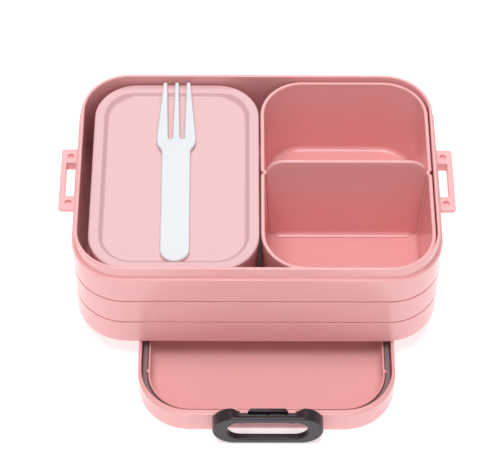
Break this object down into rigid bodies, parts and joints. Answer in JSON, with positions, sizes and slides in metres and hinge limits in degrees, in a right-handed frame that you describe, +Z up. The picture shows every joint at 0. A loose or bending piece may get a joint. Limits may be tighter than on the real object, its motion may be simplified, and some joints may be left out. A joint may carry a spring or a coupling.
{
  "type": "bento lunch box",
  "caption": "Open lunch box standing on its upside-down lid, with a lidded snack box, a food tray with a lift-out divider, and a fork.",
  "frame": {"origin": "centre of the bounding box on the table, under the outer box", "axes": "+Z up from the table; +X along the outer box's long side, to the viewer's right; +Y to the back, along the main lid's long side"},
  "size_m": [0.1848, 0.1844, 0.0761],
  "materials": {
    "pink_plastic": "smooth moulded polypropylene-like plastic, dusty pink, opaque, glossy",
    "charcoal_plastic": "moulded plastic, dark charcoal, satin",
    "seal_rubber": "soft seal, grey brown",
    "white_plastic": "smooth moulded plastic, white, semi-gloss"
  },
  "bodies": {
    "main_lid": {"lunch_box_lid": "pink_plastic", "lid_seal": "seal_rubber"},
    "front_latch": {"latch_front": "charcoal_plastic"},
    "rear_latch": {"latch_rear": "charcoal_plastic"},
    "outer_box": {"lunch_box_body": "pink_plastic"},
    "snack_box": {"snack_box": "pink_plastic"},
    "snack_lid": {"snack_box_lid": "pink_plastic"},
    "fork": {"fork": "white_plastic"},
    "food_tray": {"food_tray": "pink_plastic"},
    "divider": {"tray_divider": "pink_plastic"}
  },
  "joints": [
    {"name": "front_latch_hinge", "type": "hinge", "parent": "main_lid", "child": "front_latch", "pos_m": [0.00505, -0.0882, 0.017], "axis": [-1, 0, 0], "range_deg": [0, 100]},
    {"name": "rear_latch_hinge", "type": "hinge", "parent": "main_lid", "child": "rear_latch", "pos_m": [0.00505, 0.0882, 0.017], "axis": [1, 0, 0], "range_deg": [0, 100]},
    {"name": "outer_box_lift", "type": "slide", "parent": "main_lid", "child": "outer_box", "axis": [0, 0, 1], "range_m": [0, 0.05]},
    {"name": "snack_box_lift", "type": "slide", "parent": "outer_box", "child": "snack_box", "axis": [0, 0, 1], "range_m": [0, 0.06]},
    {"name": "snack_lid_lift", "type": "slide", "parent": "snack_box", "child": "snack_lid", "axis": [0, 0, 1], "range_m": [0, 0.02]},
    {"name": "fork_lift", "type": "slide", "parent": "snack_lid", "child": "fork", "axis": [0, 0, 1], "range_m": [0, 0.02]},
    {"name": "food_tray_lift", "type": "slide", "parent": "outer_box", "child": "food_tray", "axis": [0, 0, 1], "range_m": [0, 0.06]},
    {"name": "divider_lift", "type": "slide", "parent": "food_tray", "child": "divider", "axis": [0, 0, 1], "range_m": [0, 0.055]}
  ]
}
